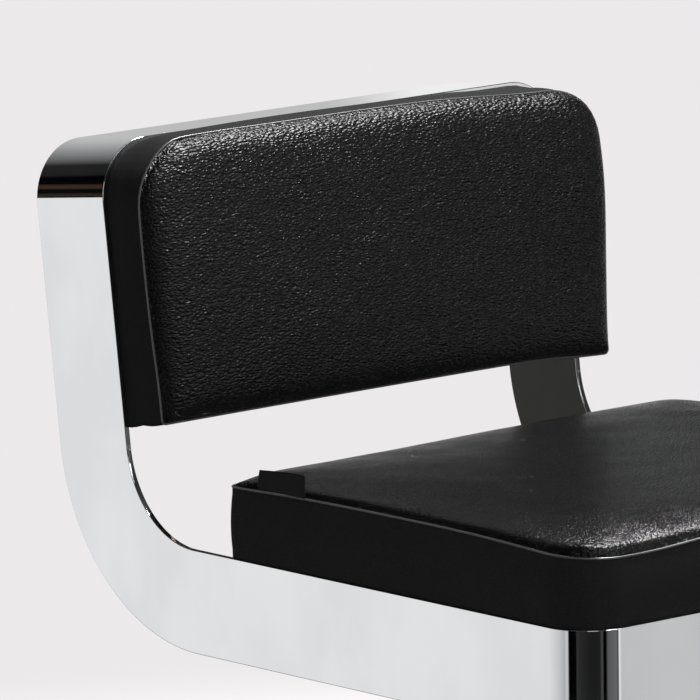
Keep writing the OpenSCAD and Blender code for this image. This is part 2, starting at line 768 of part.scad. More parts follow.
floor_mat();
base_plate();
base_cover();
pump_foot();
foot_bolts();
pump_cylinder();
guide_bush();
wiper_seal();
pump_shroud();
shroud_cap();
lever_bracket();
pivot_pin();
lever_spring();
plunger_guide();
pump_plunger();
pedal_lever();
pedal_pad();
piston_head();
piston_seal();
lift_ram();
lower_race();
bearing_balls();
retaining_ring();
upper_race();
swivel_hub();
mount_plate();
mount_bolts();
front_cross_bar();
rear_cross_bar();
board_screws();
tee_nuts();
seat_board();
right_side_plate();
left_side_plate();
top_rail();
front_rail();
seat_cushion();
side_label();
back_cushion();
back_board();
right_back_angle();
left_back_angle();
back_screws();
panel_spacers();
spacer_screws();
rear_panel();
bottom_trim();
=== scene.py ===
import json
import math

import bmesh
import bpy
import numpy as np
from mathutils import Matrix, Vector, noise
from mathutils.kdtree import KDTree


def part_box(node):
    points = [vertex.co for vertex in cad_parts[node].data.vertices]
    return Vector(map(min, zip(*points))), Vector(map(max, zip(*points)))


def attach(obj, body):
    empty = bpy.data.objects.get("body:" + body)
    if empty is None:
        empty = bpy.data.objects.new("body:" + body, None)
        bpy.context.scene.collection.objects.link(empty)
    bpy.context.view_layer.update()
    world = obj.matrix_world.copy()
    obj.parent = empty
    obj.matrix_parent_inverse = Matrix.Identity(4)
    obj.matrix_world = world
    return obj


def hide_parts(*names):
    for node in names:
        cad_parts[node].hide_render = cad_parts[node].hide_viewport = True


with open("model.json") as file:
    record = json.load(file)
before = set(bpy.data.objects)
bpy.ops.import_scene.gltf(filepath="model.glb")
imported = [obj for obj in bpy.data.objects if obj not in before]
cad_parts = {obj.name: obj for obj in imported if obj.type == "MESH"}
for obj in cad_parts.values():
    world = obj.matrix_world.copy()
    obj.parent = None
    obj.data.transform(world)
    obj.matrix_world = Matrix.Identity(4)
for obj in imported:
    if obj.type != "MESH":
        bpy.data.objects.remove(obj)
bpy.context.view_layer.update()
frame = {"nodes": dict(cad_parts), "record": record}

scene = bpy.context.scene
mm = 0.001

# The camera looks at the chair from the sitter's right, a little above the cushions, through a
# long lens from seven metres away. Its place follows the edges of the steel band.
camera_place = Vector((-5085.4, -5507.9, 1939.4)) * mm
camera_turn, camera_drop, camera_roll = (math.radians(a) for a in (-41.13, 10.26, -0.77))
camera_data = bpy.data.cameras.new("camera")
camera_data.sensor_width = 36
camera_data.lens = 488.57
camera_data.clip_end = 100
camera = bpy.data.objects.new("camera", camera_data)
scene.collection.objects.link(camera)
camera.matrix_world = (
    Matrix.Translation(camera_place)
    @ Matrix.Rotation(camera_turn, 4, "Z")
    @ Matrix.Rotation(math.pi / 2 - camera_drop, 4, "X")
    @ Matrix.Rotation(camera_roll, 4, "Z")
)
scene.camera = camera
scene.view_settings.view_transform = "Standard"


# The studio round the chair: pale paper, soft boxes, and a dark room that only the polished steel
# and the leather mirror. The room is painted in two rings, below and above the horizon, by
# azimuth: 0 degrees is straight behind the chair, and 90 is on the sitter's left.
class Wire:
    """One output of a node. Sums and products of wires and numbers add their Math nodes."""

    def __init__(self, paint, socket):
        self.paint, self.socket = paint, socket

    def maths(self, operation, first, second=0.0):
        return self.paint.add("ShaderNodeMath", {"operation": operation}, {0: first, 1: second})

    def __add__(self, other):
        return self.maths("ADD", self, other)

    def __sub__(self, other):
        return self.maths("SUBTRACT", self, other)

    def __rsub__(self, other):
        return self.maths("SUBTRACT", other, self)

    def __mul__(self, other):
        return self.maths("MULTIPLY", self, other)

    def __truediv__(self, other):
        return self.maths("DIVIDE", self, other)

    def __mod__(self, other):
        return self.maths("FLOORED_MODULO", self, other)

    def __gt__(self, other):
        return self.maths("GREATER_THAN", self, other)

    __radd__, __rmul__ = __add__, __mul__


class Paint:
    """The node tree of a material or of the world."""

    def __init__(self, tree):
        self.tree = tree

    def add(self, kind, settings=None, inputs=None, output=0):
        """Adds a node: its settings come first, then the values or wires of its sockets."""
        node = self.tree.nodes.new(kind)
        for name, value in (settings or {}).items():
            if name == "stops":
                self.set_stops(node.color_ramp, value)
            else:
                setattr(node, name, value)
        for key, value in (inputs or {}).items():
            self.plug(node.inputs[key], value)
        return Wire(self, node.outputs[output]) if node.outputs else None

    def plug(self, socket, value):
        if isinstance(value, Wire):
            self.tree.links.new(value.socket, socket)
        else:
            socket.default_value = value

    def set_stops(self, ramp, stops):
        while len(ramp.elements) < len(stops):
            ramp.elements.new(1)
        for element, (place, tone) in zip(ramp.elements, stops):
            element.position = place
            element.color = (*tone, 1) if isinstance(tone, tuple) else (tone, tone, tone, 1)

    def mix(self, low, high, share):
        """A colour between two others."""
        return self.add("ShaderNodeMix", {"data_type": "RGBA"}, {0: share, 6: low, 7: high}, 2)

    def step(self, value, low, high):
        """A smooth step from 0 to 1 as a value goes from low to high."""
        return self.add(
            "ShaderNodeMapRange", {"interpolation_type": "SMOOTHSTEP"},
            {"Value": value, "From Min": low, "From Max": high},
        )

    def noise(self, place, size, detail=2.0, roughness=0.5, output=0):
        """Soft noise with features of a given size in metres."""
        return self.add(
            "ShaderNodeTexNoise", None,
            {"Vector": place, "Scale": 1 / size, "Detail": detail, "Roughness": roughness}, output,
        )

    def stretched(self, place, scale, turn=(0, 0, 0)):
        """A place on a pattern that is turned and stretched."""
        return self.add(
            "ShaderNodeMapping", None, {"Vector": place, "Rotation": turn, "Scale": scale},
        )

    def bump(self, height, distance, strength=1.0):
        """Small relief on the surface, from a height between 0 and 1."""
        return self.add(
            "ShaderNodeBump", None, {"Strength": strength, "Distance": distance, "Height": height},
        )


backdrop = (0.839, 0.815, 0.823, 1)
fill_tone = (0.62, 0.62, 0.63, 1)
room_tone = (0.02, 0.02, 0.02, 1)
ceiling_tone = (0.09, 0.09, 0.095, 1)
lit_paper = (0.9, 0.9, 0.9, 1)
apron_tone = (0.5, 0.5, 0.5, 1)
# How far the uprights of the chair lean back
rake = math.radians(7)
# Tones of the low ring and of the high ring, by azimuth
low_tones = [
    (-180, 0.0), (-174, 0.0), (-171.5, 0.07), (-169, 0.06), (-166, 0.015), (-156, 0.012),
    (-148, 0.011), (-124, 0.02), (-114, 0.034), (-112, 0.0), (-95, 0.0), (-93, 0.66), (-87, 0.62),
    (-85, 0.5), (-71, 0.67), (-52, 0.8), (-41, 0.88), (-20, 0.84), (20, 0.56), (38, 0.52),
    (60, 0.6), (120, 0.62), (139, 0.62), (143, 0.7), (144, 0.95), (147, 0.95),
    (149, 0.09), (152, 0.1), (154, 0.16), (176, 0.11), (180, 0.0),
]
high_tones = [
    (-180, 0.05), (-120, 0.03), (-60, 0.01), (-28, 0.0), (-25.5, 0.016), (-13.5, 0.018),
    (-10, 0.07), (-4, 0.15), (3, 0.22), (17, 0.37), (29, 0.5), (36, 0.54), (41.5, 0.5),
    (44, 0.2), (46, 0.06), (80, 0.05), (100, 0.05), (137.5, 0.03), (140, 0.1), (165, 0.08),
    (180, 0.05),
]
# A window frame behind on the sitter's right, which the end of the top bend mirrors as fine
# lines, by height
line_side = (-45, -27)
line_rise = (-0.02, 0.25)
line_tones = [
    (-0.02, 0.0), (0.004, 0.0), (0.018, (0.033, 0.025, 0.019)), (0.05, (0.028, 0.02, 0.014)),
    (0.068, (0.018, 0.012, 0.008)), (0.078, 0.003), (0.145, 0.003), (0.165, (0.034, 0.022, 0.015)),
    (0.185, (0.05, 0.031, 0.021)), (0.215, (0.038, 0.023, 0.014)), (0.235, (0.03, 0.017, 0.01)),
    (0.245, 0.001), (0.25, 0.001),
]


def stops_of(tones, low=-180, high=180):
    """The stops of a ramp, from tones at places on a scale."""
    return [((place - low) / (high - low), tone) for place, tone in tones]


world = bpy.data.worlds.new("studio")
scene.world = world
world.use_nodes = True
world.node_tree.nodes.clear()
air = Paint(world.node_tree)
direction = air.add("ShaderNodeTexCoord", output="Generated")
heading = air.add("ShaderNodeSeparateXYZ", None, {0: direction})
side, ahead, rise = (Wire(air, heading.socket.node.outputs[i]) for i in range(3))
azimuth = side.maths("ARCTAN2", side, ahead) * math.degrees(1)
turn_share = azimuth / 360 + 0.5

# Below the horizon: the ring, brighter paper where the band's grazing edges look past the chair,
# a grey apron of paper on the floor, and darkness further down
low_ring = air.add("ShaderNodeValToRGB", {"stops": stops_of(low_tones)}, {0: turn_share})
past_chair = air.step(azimuth, 40.4, 41.1) - air.step(azimuth, 46, 60)
low_ring = air.mix(low_ring, lit_paper, past_chair)
low_ring = air.mix(apron_tone, low_ring, air.step(rise, -0.24, -0.225))
low_ring = air.mix(room_tone, low_ring, air.step(rise, -0.42, -0.3))

# Above it: the ring, with the window frame in it
high_ring = air.add("ShaderNodeValToRGB", {"stops": stops_of(high_tones)}, {0: turn_share})
line_share = (rise - line_rise[0]) / (line_rise[1] - line_rise[0])
lines = air.add("ShaderNodeValToRGB", {"stops": stops_of(line_tones, *line_rise)}, {0: line_share})
framed = ((azimuth > line_side[0]) - (azimuth > line_side[1])) * (1 - (line_share > 1))
high_ring = air.mix(high_ring, lines, framed)

# Behind the chair only the strip that the faces of the bends and rails mirror is lit, and on the
# sitter's left the wall is lit only near the horizon, so that no haze lies on the leather
along_arms = ahead * math.cos(rake) - rise * math.sin(rake)
on_strip = air.step(along_arms, 0.72, 0.74) - air.step(along_arms, 0.795, 0.815)
behind = (azimuth > -28) - (azimuth > 42)
high_ring = air.mix(high_ring, room_tone, behind * (1 - on_strip))
overhead = air.step(rise, 0.24, 0.4) * ((azimuth > 42) - (azimuth > 80))
high_ring = air.mix(high_ring, room_tone, overhead)

# A small bright window in front on the sitter's left, which the top rail mirrors above the back
window = ((azimuth > 137.9) - (azimuth > 139)) * ((rise > 0.02) - (rise > 0.045))
high_ring = air.mix(high_ring, backdrop, window)

mirrored = air.mix(low_ring, high_ring, air.step(rise, -0.022, -0.014))
mirrored = air.mix(mirrored, ceiling_tone, air.step(rise, 0.6, 0.85))
ray = air.add("ShaderNodeLightPath", output="Is Camera Ray").socket.node.outputs
seen = air.mix(fill_tone, mirrored, Wire(air, ray["Is Glossy Ray"]))
seen = air.mix(seen, backdrop, Wire(air, ray["Is Camera Ray"]))
seen = air.mix(seen, backdrop, Wire(air, ray["Is Transmission Ray"]))
sky = air.add("ShaderNodeBackground", None, {"Color": seen, "Strength": 1.0})
air.add("ShaderNodeOutputWorld", None, {"Surface": sky})


def lamp(name, place, aim, width, height, power):
    """A soft box that points at a place on the chair."""
    data = bpy.data.lights.new(name, "AREA")
    data.shape = "RECTANGLE"
    data.size, data.size_y = width, height
    data.energy = power
    box = bpy.data.objects.new(name, data)
    scene.collection.objects.link(box)
    box.location = place
    box.rotation_euler = (Vector(aim) - Vector(place)).to_track_quat("-Z", "Y").to_euler()


chair_middle = (0, 0.1, 0.45)
lamp("key_softbox", (0.96, 0.1, 2.65), chair_middle, 1.2, 0.55, 120)
lamp("face_softbox", (0.95, -1.9, 1.6), chair_middle, 0.9, 0.9, 8)
lamp("front_softbox", (-1.6, -2.6, 1.6), chair_middle, 1.2, 1.2, 10)


# The floor is pale studio paper. It keeps the chair's shadow near the base, and further out it
# takes the colour of the backdrop. A dark card behind the chair shows only in the polished steel.
def new_material(name):
    material = bpy.data.materials.new(name)
    material.use_nodes = True
    return material


def finish_of(name):
    """A new material, its node tree and its shader."""
    material = new_material(name)
    return material, Paint(material.node_tree), material.node_tree.nodes["Principled BSDF"]


def object_coords(paint):
    return paint.add("ShaderNodeTexCoord", output="Object")


def mesh_object(name, bm):
    """Makes a piece of a finished bmesh, smooth shaded."""
    mesh = bpy.data.meshes.new(name)
    bm.to_mesh(mesh)
    bm.free()
    mesh.shade_smooth()
    piece = bpy.data.objects.new(name, mesh)
    scene.collection.objects.link(piece)
    return piece


floor_r = 1.7
fade_from, fade_to = 0.75, 1.6
paper_tone = (0.84, 0.82, 0.825, 1)
bm = bmesh.new()
bmesh.ops.create_circle(bm, cap_ends=True, segments=128, radius=floor_r)
floor = mesh_object("floor", bm)
floor.visible_glossy = False
paper = new_material("studio_paper")
floor.data.materials.append(paper)
paint = Paint(paper.node_tree)
paper.node_tree.nodes.clear()
away = paint.add("ShaderNodeVectorMath", {"operation": "LENGTH"}, {0: object_coords(paint)}, 1)
far_out = paint.step(away, fade_from, fade_to)
ray = paint.add("ShaderNodeLightPath").socket.node.outputs
looked_at = Wire(paint, ray["Is Camera Ray"]) + Wire(paint, ray["Is Transmission Ray"])
matt = paint.add("ShaderNodeBsdfDiffuse", None, {"Color": paper_tone})
glow = paint.add("ShaderNodeEmission", None, {"Color": backdrop, "Strength": 1.0})
surface = paint.add("ShaderNodeMixShader", None, {0: far_out * looked_at, 1: matt, 2: glow})
paint.add("ShaderNodeOutputMaterial", None, {"Surface": surface})

card_place = Vector((-337, 1002, 300)) * mm
card_facing = Vector((-0.647, 0.741, -0.178))
card_w, card_h = 0.2, 0.6
card_tone = (0.036, 0.036, 0.033, 1)
bm = bmesh.new()
bmesh.ops.create_grid(bm, x_segments=1, y_segments=1, size=0.5)
bmesh.ops.scale(bm, vec=(card_w, card_h, 1), verts=bm.verts[:])
turned = card_facing.to_track_quat("Z", "Y").to_matrix().to_4x4()
bmesh.ops.transform(bm, verts=bm.verts[:], matrix=Matrix.Translation(card_place) @ turned)
card = mesh_object("dark_card", bm)
card.visible_camera = card.visible_diffuse = card.visible_shadow = False
card_cloth = new_material("card_cloth")
card_cloth.node_tree.nodes.clear()
card.data.materials.append(card_cloth)
paint = Paint(card_cloth.node_tree)
glow = paint.add("ShaderNodeEmission", None, {"Color": card_tone, "Strength": 1.0})
paint.add("ShaderNodeOutputMaterial", None, {"Surface": glow})


# The base: a steel plate on a rubber mat, under a spun and chromed cover. Plain machined parts
# keep the CAD's form, and their sharp edges are eased as a deburring wheel leaves them.
bodies = frame["record"]["behaviour"]["bodies"]
body_of = {node: body for body, nodes in bodies.items() for node in nodes}


def ride_as(piece, *nodes):
    """The piece stands for CAD nodes: it moves with their body, and the nodes are hidden."""
    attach(piece, body_of[nodes[0]])
    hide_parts(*nodes)
    return piece


def keep_flats(piece):
    """Shades a piece smooth, but leaves its flat faces flat."""
    weigh = piece.modifiers.new("flat_faces_stay_flat", "WEIGHTED_NORMAL")
    weigh.weight = 100


def eased(name, node, width, material):
    """A CAD node's form with its sharp edges eased: a merged copy that takes its place."""
    copied = frame["nodes"][node].data.copy()
    if "custom_normal" in copied.attributes:
        copied.attributes.remove(copied.attributes["custom_normal"])
    bm = bmesh.new()
    bm.from_mesh(copied)
    bpy.data.meshes.remove(copied)
    bmesh.ops.remove_doubles(bm, verts=bm.verts[:], dist=0.005 * mm)
    bmesh.ops.dissolve_limit(
        bm, angle_limit=math.radians(0.05), verts=bm.verts[:], edges=bm.edges[:], delimit=set(),
    )
    corner = math.radians(40)
    sharp = [e for e in bm.edges if len(e.link_faces) == 2 and e.calc_face_angle(0) > corner]
    bmesh.ops.bevel(
        bm, geom=sharp, offset=width, segments=2, affect="EDGES", profile=0.5, material=-1,
        clamp_overlap=True,
    )
    piece = mesh_object(name, bm)
    piece.data.materials.clear()
    piece.data.materials.append(material)
    keep_flats(piece)
    return ride_as(piece, node)


def keep_form(material, *nodes):
    """CAD nodes that keep their form take a finish."""
    for node in nodes:
        mesh = frame["nodes"][node].data
        mesh.materials.clear()
        mesh.materials.append(material)


def chrome(name, cloud_size, stretch):
    """Polished chrome: soft clouds of haze and painted reflection, and a fine unevenness of the
    polish.
    """
    material, paint, shader = finish_of(name)
    place = object_coords(paint)
    clouds = paint.noise(paint.stretched(place, stretch), cloud_size, 3.0, 0.55)
    haze_and_painted_streaks = paint.step(clouds, 0.35, 0.68)
    buffing = paint.noise(place, 1.1 * mm)
    # The clouds make the polish a little rougher and paint its tone lighter: a painted reflection
    # of soft streaks.
    tone = paint.mix((0.79, 0.805, 0.82, 1), (0.85, 0.86, 0.87, 1), haze_and_painted_streaks)
    paint.plug(shader.inputs["Base Color"], tone)
    paint.plug(shader.inputs["Roughness"], 0.03 + 0.02 * haze_and_painted_streaks + 0.015 * buffing)
    shader.inputs["Metallic"].default_value = 1
    return material


def turned_steel(name, low, high, roughness, cut=(60, 60, 900)):
    """Machined metal: fine tool marks, with a tone and gloss that vary a little along them."""
    material, paint, shader = finish_of(name)
    place = object_coords(paint)
    marks = paint.noise(paint.stretched(place, cut), 1.0, 2.0, 0.6)
    patches = paint.noise(place, 18 * mm, 3.0)
    tone = paint.mix((*low, 1), (*high, 1), 0.5 * marks + 0.5 * patches)
    paint.plug(shader.inputs["Base Color"], tone)
    paint.plug(shader.inputs["Roughness"], roughness + 0.12 * patches + 0.08 * marks)
    paint.plug(shader.inputs["Normal"], paint.bump(marks, 0.02 * mm, 0.6))
    shader.inputs["Metallic"].default_value = 1
    return material


def zinc_plate():
    """Zinc plating: a dull bluish grey that turns a little yellow in clouds."""
    material, paint, shader = finish_of("zinc_plate")
    place = object_coords(paint)
    clouds = paint.step(paint.noise(place, 6 * mm, 3.0), 0.35, 0.65)
    grain = paint.noise(place, 0.5 * mm)
    tone = paint.mix((0.6, 0.62, 0.63, 1), (0.72, 0.7, 0.62, 1), clouds)
    paint.plug(shader.inputs["Base Color"], tone)
    paint.plug(shader.inputs["Roughness"], 0.3 + 0.12 * clouds + 0.1 * grain)
    shader.inputs["Metallic"].default_value = 1
    return material


def moulded_rubber(name, tone):
    """Moulded rubber: almost black, matt, with a dusty bloom in patches and a fine texture."""
    material, paint, shader = finish_of(name)
    place = object_coords(paint)
    bloom = paint.step(paint.noise(place, 30 * mm, 4.0, 0.6), 0.4, 0.75)
    texture = paint.noise(place, 0.7 * mm, 2.0)
    dusty = tuple(2.1 * t + 0.006 for t in tone)
    dusted = paint.mix((*tone, 1), (*dusty, 1), 0.7 * bloom + 0.2 * texture)
    paint.plug(shader.inputs["Base Color"], dusted)
    paint.plug(shader.inputs["Roughness"], 0.62 + 0.2 * bloom + 0.1 * texture)
    paint.plug(shader.inputs["Normal"], paint.bump(texture, 0.08 * mm, 0.7))
    shader.inputs["Specular IOR Level"].default_value = 0.35
    return material


bright_steel = turned_steel("turned_steel", (0.42, 0.43, 0.45), (0.56, 0.57, 0.58), 0.26)
plate_steel = turned_steel(
    "rolled_steel", (0.36, 0.37, 0.39), (0.5, 0.51, 0.53), 0.38, (90, 90, 90),
)
zinc = zinc_plate()
mat_rubber = moulded_rubber("mat_rubber", (0.022, 0.022, 0.022))
spun_chrome = chrome("spun_chrome", 0.16, (1, 1, 2.5))
eased("base_mat", "floor_mat", 1.6 * mm, mat_rubber)
eased("base_disc", "base_plate", 0.8 * mm, plate_steel)
eased("base_dome", "base_cover", 0.55 * mm, spun_chrome)
eased("pump_flange", "pump_foot", 0.8 * mm, bright_steel)
eased("flange_bolts", "foot_bolts", 0.5 * mm, zinc)


# The pump: a steel cylinder with a bronze guide bush and a rubber wiper, inside a chromed shroud
# with a moulded cap. The ram carries the bearing and the seat.
def moulded_plastic():
    """Black moulded plastic with the fine spark-eroded texture of its tool."""
    material, paint, shader = finish_of("moulded_plastic")
    place = object_coords(paint)
    pits = paint.add("ShaderNodeTexVoronoi", None, {"Vector": place, "Scale": 1 / (0.6 * mm)})
    rubbed = paint.step(paint.noise(place, 22 * mm, 3.0), 0.42, 0.7)
    tone = paint.mix((0.022, 0.022, 0.023, 1), (0.034, 0.034, 0.035, 1), pits)
    paint.plug(shader.inputs["Base Color"], tone)
    paint.plug(shader.inputs["Roughness"], 0.42 + 0.16 * pits + 0.08 * rubbed)
    paint.plug(shader.inputs["Normal"], paint.bump(pits, 0.05 * mm, 0.6))
    return material


plastic = moulded_plastic()
shroud_chrome = chrome("shroud_chrome", 0.1, (1, 1, 0.5))
seal_rubber = moulded_rubber("seal_rubber", (0.018, 0.018, 0.019))
bush_bronze = turned_steel("bush_bronze", (0.58, 0.42, 0.19), (0.72, 0.56, 0.28), 0.28)
eased("column_shroud", "pump_shroud", 0.5 * mm, shroud_chrome)
eased("column_cap", "shroud_cap", 0.9 * mm, plastic)
keep_form(
    bright_steel, "pump_cylinder", "piston_head", "plunger_guide", "lever_spring", "retaining_ring",
)
keep_form(bush_bronze, "guide_bush")
keep_form(seal_rubber, "piston_seal")
eased("ram_wiper", "wiper_seal", 0.8 * mm, seal_rubber)
ram_chrome = chrome("ram_chrome", 0.05, (1, 1, 0.3))
eased("chromed_ram", "lift_ram", 0.8 * mm, ram_chrome)
eased("bearing_race_low", "lower_race", 0.5 * mm, bright_steel)
eased("bearing_race_high", "upper_race", 0.5 * mm, bright_steel)
keep_form(ram_chrome, "bearing_balls", "pump_plunger")


# The pedal: a chromed bar in a steel bracket, with a ribbed rubber tread pressed over its plate.
tread_rubber = moulded_rubber("tread_rubber", (0.026, 0.026, 0.026))
eased("pedal_arm", "pedal_lever", 0.7 * mm, shroud_chrome)
eased("pedal_tread", "pedal_pad", 0.8 * mm, tread_rubber)
eased("pedal_bracket", "lever_bracket", 0.5 * mm, plate_steel)
eased("pedal_pin", "pivot_pin", 0.5 * mm, bright_steel)


# The seat carrier: a hub, a mounting plate and two cross bars, welded, powder coated black and
# bolted up into tee nuts in the seat board, which is raw birch plywood.
def powder_coat():
    """Black powder coat: the soft orange peel of baked paint, a little worn in patches."""
    material, paint, shader = finish_of("powder_coat")
    place = object_coords(paint)
    peel = paint.noise(place, 1.3 * mm, 2.0, 0.4)
    worn = paint.step(paint.noise(place, 26 * mm, 4.0, 0.6), 0.5, 0.8)
    tone = paint.mix((0.022, 0.022, 0.024, 1), (0.042, 0.042, 0.044, 1), worn)
    paint.plug(shader.inputs["Base Color"], tone)
    paint.plug(shader.inputs["Roughness"], 0.3 + 0.16 * worn + 0.06 * peel)
    paint.plug(shader.inputs["Normal"], paint.bump(peel, 0.12 * mm, 0.7))
    return material


def abs_from(wire, centre):
    """Distance of a number from a centre."""
    return wire.maths("ABSOLUTE", wire - centre)


def birch_plywood(name, lean):
    """Raw birch plywood: pale long grain on the faces, darker and lighter plies at the edges."""
    material, paint, shader = finish_of(name)
    place = paint.stretched(object_coords(paint), (1, 1, 1), (lean, 0, 0))
    grain = paint.noise(paint.stretched(place, (4, 90, 160)), 1.0, 4.0, 0.6)
    pores = paint.noise(paint.stretched(place, (60, 900, 900)), 1.0, 1.0)
    ply_t = 1.6 * mm
    layer = paint.add("ShaderNodeSeparateXYZ", None, {0: place}, 2)
    glue = paint.step(abs_from(layer % (2 * ply_t), ply_t), 0.0, 0.2 * mm)
    crossed = (layer % (2 * ply_t)) > ply_t
    wood = paint.mix((0.52, 0.37, 0.21, 1), (0.68, 0.53, 0.33, 1), paint.step(grain, 0.3, 0.7))
    wood = paint.mix(wood, (0.47, 0.33, 0.19, 1), 0.45 * crossed)
    wood = paint.mix((0.16, 0.09, 0.05, 1), wood, glue)
    paint.plug(shader.inputs["Base Color"], wood)
    paint.plug(shader.inputs["Roughness"], 0.55 + 0.15 * grain + 0.1 * pores)
    paint.plug(shader.inputs["Normal"], paint.bump(0.5 * grain + 0.5 * pores, 0.06 * mm, 0.6))
    return material


coat = powder_coat()
eased("seat_hub", "swivel_hub", 1.0 * mm, coat)
eased("seat_mount_plate", "mount_plate", 0.8 * mm, coat)
eased("front_crossbar", "front_cross_bar", 0.8 * mm, coat)
eased("rear_crossbar", "rear_cross_bar", 0.8 * mm, coat)
eased("carrier_bolts", "mount_bolts", 0.5 * mm, zinc)
keep_form(zinc, "board_screws", "tee_nuts", "back_screws", "spacer_screws")
eased("birch_seat_board", "seat_board", 0.8 * mm, birch_plywood("birch_plywood", 0))


# The steel band: one flat bar bent into arms, uprights, front rail and top rail, its edges eased
# and the whole polished and chromed. Built as one half, then mirrored.
plate_low, plate_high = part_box("right_side_plate")
rail_low, rail_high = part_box("front_rail")
half_w = -plate_low.x
band_t = plate_high.x - plate_low.x
arm_top, arm_low = rail_high.z, rail_low.z
band_w = arm_top - arm_low
front_y, bend_y = rail_low.y, plate_low.y
front_bend_r = bend_y - front_y
arm_len, upright_len = 537 * mm, 322 * mm
corner_y = front_y + arm_len
top_bend_r = 50 * mm
inner_r, outer_r = 83 * mm, 172 * mm
arris = 0.6 * mm
arc_steps, bend_steps = 48, 40
upward = Vector((0, math.sin(rake), math.cos(rake)))
backward = Vector((0, math.cos(rake), -math.sin(rake)))
inner_corner = Vector((0, corner_y, arm_top))


def on_slope(x, behind, up):
    """A point on the slope of the uprights: behind their front edges, and up from the arms."""
    return inner_corner + Vector((x, 0, 0)) + backward * behind + upward * up


def rounded_face(bm, corners, radii, steps):
    """A flat face with rounded corners: each arc is one vertex, spun round its centre."""
    rim = []
    for i, (corner, radius) in enumerate(zip(corners, radii)):
        if not radius:
            rim.append(bm.verts.new(corner))
            continue
        before = (corners[i - 1] - corner).normalized()
        after = (corners[(i + 1) % len(corners)] - corner).normalized()
        half = before.angle(after) / 2
        first = bm.verts.new(corner + before * radius / math.tan(half))
        centre = corner + (before + after).normalized() * radius / math.sin(half)
        made = len(bm.verts)
        bmesh.ops.spin(
            bm, geom=[first], cent=centre, axis=after.cross(before).normalized(),
            angle=math.pi - 2 * half, steps=steps,
        )
        bm.verts.ensure_lookup_table()
        rim += [first, *bm.verts[made:]]
    return bm.faces.new(rim)


def sweep_end(bm, here, direction):
    """Opens the end face of a bar that faces a direction at a place, and returns its edges."""
    bm.faces.ensure_lookup_table()
    end = min(
        (f for f in bm.faces if abs(f.normal.dot(direction)) > 0.99),
        key=lambda f: (f.calc_center_median() - here).length,
    )
    edges = list(end.edges)
    bmesh.ops.delete(bm, geom=[end], context="FACES_ONLY")
    return edges


def bend_and_run(bm, edges, centre, axis, run):
    """Bends the end of a bar through a quarter turn, then runs it straight on."""
    geom = edges + list({v for e in edges for v in e.verts})
    spun = bmesh.ops.spin(
        bm, geom=geom, cent=centre, axis=axis, angle=math.pi / 2, steps=bend_steps,
    )
    last = [g for g in spun["geom_last"] if isinstance(g, bmesh.types.BMEdge)]
    drawn = bmesh.ops.extrude_edge_only(bm, edges=last)
    moved = [g for g in drawn["geom"] if isinstance(g, bmesh.types.BMVert)]
    bmesh.ops.translate(bm, vec=run, verts=moved)


bm = bmesh.new()
outer_drop = band_w * (1 - math.sin(rake)) / math.cos(rake)
outline = [
    Vector((0, bend_y, arm_low)), on_slope(0, band_w, -outer_drop),
    on_slope(0, band_w, upright_len - top_bend_r), on_slope(0, 0, upright_len - top_bend_r),
    Vector((0, corner_y, arm_top)), Vector((0, bend_y, arm_top)),
]
plate = rounded_face(bm, outline, [0, outer_r, 0, 0, inner_r, 0], arc_steps)
bmesh.ops.translate(bm, vec=(-half_w, 0, 0), verts=bm.verts[:])
solid = bmesh.ops.extrude_face_region(bm, geom=[plate])
bmesh.ops.translate(
    bm, vec=(band_t, 0, 0), verts=[g for g in solid["geom"] if isinstance(g, bmesh.types.BMVert)],
)
bm.normal_update()
front_end = sweep_end(bm, Vector((-half_w, bend_y, arm_low + band_w / 2)), Vector((0, 1, 0)))
bend_and_run(
    bm, front_end, Vector((front_bend_r - half_w, bend_y, 0)), Vector((0, 0, 1)),
    Vector((half_w - front_bend_r, 0, 0)),
)
top_end = sweep_end(bm, on_slope(-half_w, band_w / 2, upright_len - top_bend_r), upward)
bend_and_run(
    bm, top_end, on_slope(top_bend_r - half_w, 0, upright_len - top_bend_r), backward,
    Vector((half_w - top_bend_r, 0, 0)),
)
bmesh.ops.mirror(bm, geom=bm.verts[:] + bm.edges[:] + bm.faces[:], axis="X", merge_dist=0.01 * mm)
bmesh.ops.remove_doubles(bm, verts=bm.verts[:], dist=0.01 * mm)
bmesh.ops.dissolve_limit(
    bm, angle_limit=math.radians(0.05), verts=bm.verts[:], edges=bm.edges[:], delimit=set(),
)
bmesh.ops.recalc_face_normals(bm, faces=bm.faces[:])
arrises = [e for e in bm.edges if len(e.link_faces) == 2 and e.calc_face_angle() > math.radians(60)]
bmesh.ops.bevel(
    bm, geom=arrises, offset=arris, segments=2, affect="EDGES", profile=0.5, material=-1,
)
band = mesh_object("polished_band", bm)
keep_flats(band)
band.data.materials.append(chrome("band_chrome", 0.12, (1, 1.4, 0.8)))
ride_as(band, "right_side_plate", "left_side_plate", "top_rail", "front_rail")


# The seat cushion: a foam block in black pebbled leather, a boxing strip round its sides and a
# crowned top panel, sewn together at a seam that dips at the front corners.
def pad_outline(half_x, half_y, low_r, high_r):
    """Points of a rounded rectangle, counter-clockwise, as a rounded face's rim."""
    bm = bmesh.new()
    corners = [
        Vector((half_x, -half_y, 0)), Vector((half_x, half_y, 0)),
        Vector((-half_x, half_y, 0)), Vector((-half_x, -half_y, 0)),
    ]
    face = rounded_face(bm, corners, [low_r, high_r, high_r, low_r], 10)
    points = [v.co.copy() for v in face.verts]
    bm.free()
    return points


def swell(share, rate):
    """How far a crown has risen, from 0 at the seam to 1, at a share of the way to the middle."""
    return (1 - np.exp(-rate * share)) / (1 - math.exp(-rate))


